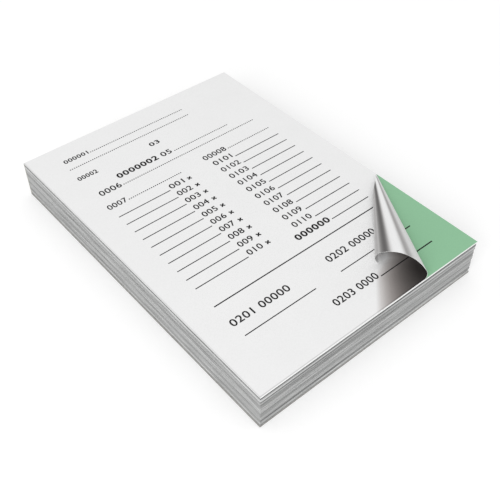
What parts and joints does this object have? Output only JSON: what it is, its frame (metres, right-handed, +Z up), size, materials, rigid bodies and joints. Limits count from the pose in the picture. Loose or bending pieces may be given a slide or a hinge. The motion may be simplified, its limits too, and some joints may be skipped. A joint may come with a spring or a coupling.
{
  "type": "duplicate receipt book",
  "caption": "Coverless glued pad of duplicate receipt forms: white originals over green copies on a backing board, the top leaf's corner curled up.",
  "frame": {"origin": "centre of the footprint, on the underside of the backing board", "axes": "+Z up through the stack, +Y towards the glued head edge, +X to the right of someone reading the form"},
  "size_m": [0.105, 0.1482, 0.0242],
  "materials": {
    "white_paper": "uncoated white form paper, matt",
    "green_paper": "uncoated green copy paper, matt",
    "grey_board": "unlined grey chipboard",
    "padding_glue": "dried white padding adhesive, satin"
  },
  "bodies": {
    "pad": {"backing_board": "grey_board", "duplicate_002": "green_paper", "duplicate_003": "green_paper", "duplicate_004": "green_paper", "duplicate_005": "green_paper", "duplicate_006": "green_paper", "duplicate_007": "green_paper", "duplicate_008": "green_paper", "duplicate_009": "green_paper", "duplicate_010": "green_paper", "duplicates_011_020": "green_paper", "duplicates_021_030": "green_paper", "duplicates_031_040": "green_paper", "duplicates_041_050": "green_paper", "duplicates_051_060": "green_paper", "duplicates_061_070": "green_paper", "duplicates_071_080": "green_paper", "duplicates_081_090": "green_paper", "duplicates_091_100": "green_paper", "glue_film": "padding_glue", "original_002": "white_paper", "original_003": "white_paper", "original_004": "white_paper", "original_005": "white_paper", "original_006": "white_paper", "original_007": "white_paper", "original_008": "white_paper", "original_009": "white_paper", "original_010": "white_paper", "originals_011_020": "white_paper", "originals_021_030": "white_paper", "originals_031_040": "white_paper", "originals_041_050": "white_paper", "originals_051_060": "white_paper", "originals_061_070": "white_paper", "originals_071_080": "white_paper", "originals_081_090": "white_paper", "originals_091_100": "white_paper"},
    "duplicate_leaf": {"duplicate_001": "green_paper"},
    "original_leaf": {"original_001": "white_paper"}
  },
  "joints": [
    {"name": "duplicate_turn", "type": "hinge", "parent": "pad", "child": "duplicate_leaf", "pos_m": [0, 0.07392, 0.01642], "axis": [-1, 0, 0], "range_deg": [0, 85]},
    {"name": "original_turn", "type": "hinge", "parent": "duplicate_leaf", "child": "original_leaf", "pos_m": [0, 0.07392, 0.0165], "axis": [-1, 0, 0], "range_deg": [0, 175]}
  ]
}
